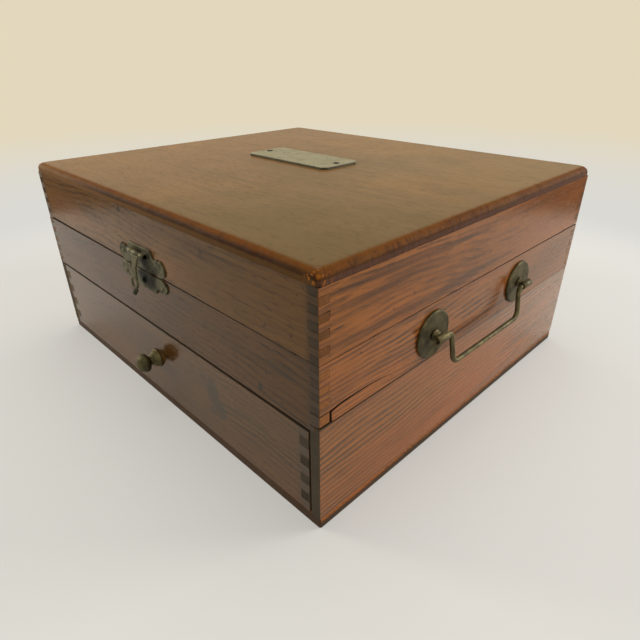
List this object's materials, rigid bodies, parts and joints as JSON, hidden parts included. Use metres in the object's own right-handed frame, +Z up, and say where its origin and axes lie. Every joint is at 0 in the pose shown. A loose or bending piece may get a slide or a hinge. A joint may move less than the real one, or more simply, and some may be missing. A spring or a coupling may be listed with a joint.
{
  "type": "drafting instrument case",
  "caption": "Wooden drafting instrument case: hinged lined lid with hasp latch and name plate, divided compartment, lower drawer with turned knob, drop bail handles at the ends.",
  "frame": {"origin": "centre of the underside of the base board", "axes": "+X to the right along the drawer front, -Y out of the drawer front, +Z up"},
  "size_m": [0.326, 0.289, 0.142],
  "materials": {
    "case_wood": "worn satin varnish",
    "lid_wood": "worn satin varnish",
    "drawer_wood": "worn satin varnish",
    "inner_wood": "bare planed",
    "aged_brass": "dull patina",
    "plate_metal": "dull brushed",
    "screw_steel": "tarnished",
    "felt": "napped felt"
  },
  "bodies": {
    "case": {"base_board": "case_wood", "housing_left_side": "case_wood", "housing_right_side": "case_wood", "case_front_wall": "case_wood", "case_back_wall": "case_wood", "case_left_wall": "case_wood", "case_right_wall": "case_wood", "housing_back": "case_wood", "compartment_floor": "inner_wood", "compartment_long_divider": "inner_wood", "compartment_right_divider": "inner_wood", "compartment_left_divider": "inner_wood", "compartment_lining": "felt", "hinge_case_screws": "screw_steel", "latch_keeper_plate": "aged_brass", "latch_keeper_nails": "aged_brass", "handle_left_front_post": "aged_brass", "handle_left_rear_post": "aged_brass", "handle_left_front_rosette": "aged_brass", "handle_left_rear_rosette": "aged_brass", "handle_left_nuts": "aged_brass", "hinge_left_case_leaf": "aged_brass", "hinge_left_pin": "aged_brass", "handle_right_front_post": "aged_brass", "handle_right_rear_post": "aged_brass", "handle_right_front_rosette": "aged_brass", "handle_right_rear_rosette": "aged_brass", "handle_right_nuts": "aged_brass", "hinge_right_case_leaf": "aged_brass", "hinge_right_pin": "aged_brass"},
    "lid": {"lid_top_panel": "lid_wood", "lid_front_wall": "lid_wood", "lid_back_wall": "lid_wood", "lid_left_wall": "lid_wood", "lid_right_wall": "lid_wood", "lid_lining": "felt", "name_plate": "plate_metal", "name_plate_screws": "screw_steel", "hinge_left_lid_leaf": "aged_brass", "hinge_right_lid_leaf": "aged_brass", "hinge_lid_screws": "screw_steel", "latch_lid_plate": "aged_brass", "latch_lid_nails": "aged_brass", "latch_pin": "aged_brass"},
    "latch_hasp": {"latch_hasp": "aged_brass"},
    "drawer": {"drawer_front": "drawer_wood", "drawer_left_side": "inner_wood", "drawer_right_side": "inner_wood", "drawer_back": "inner_wood", "drawer_bottom": "inner_wood", "drawer_lining": "felt", "drawer_knob": "aged_brass", "knob_screw": "screw_steel"},
    "bail_right": {"handle_right_bail": "aged_brass"},
    "bail_left": {"handle_left_bail": "aged_brass"}
  },
  "joints": [
    {"name": "lid_hinge", "type": "hinge", "parent": "case", "child": "lid", "pos_m": [0, 0.1374, 0.098], "axis": [-1, 0, 0], "range_deg": [0, 100]},
    {"name": "hasp_pivot", "type": "hinge", "parent": "lid", "child": "latch_hasp", "pos_m": [0.003, -0.1372, 0.1087], "axis": [-1, 0, 0], "range_deg": [0, 120]},
    {"name": "drawer_slide", "type": "slide", "parent": "case", "child": "drawer", "axis": [0, -1, 0], "range_m": [0, 0.19]},
    {"name": "bail_right_swing", "type": "hinge", "parent": "case", "child": "bail_right", "pos_m": [0.1588, -0.002, 0.0793], "axis": [0, -1, 0], "range_deg": [-18, 150]},
    {"name": "bail_left_swing", "type": "hinge", "parent": "case", "child": "bail_left", "pos_m": [-0.1588, -0.002, 0.0793], "axis": [0, 1, 0], "range_deg": [-18, 150]}
  ]
}
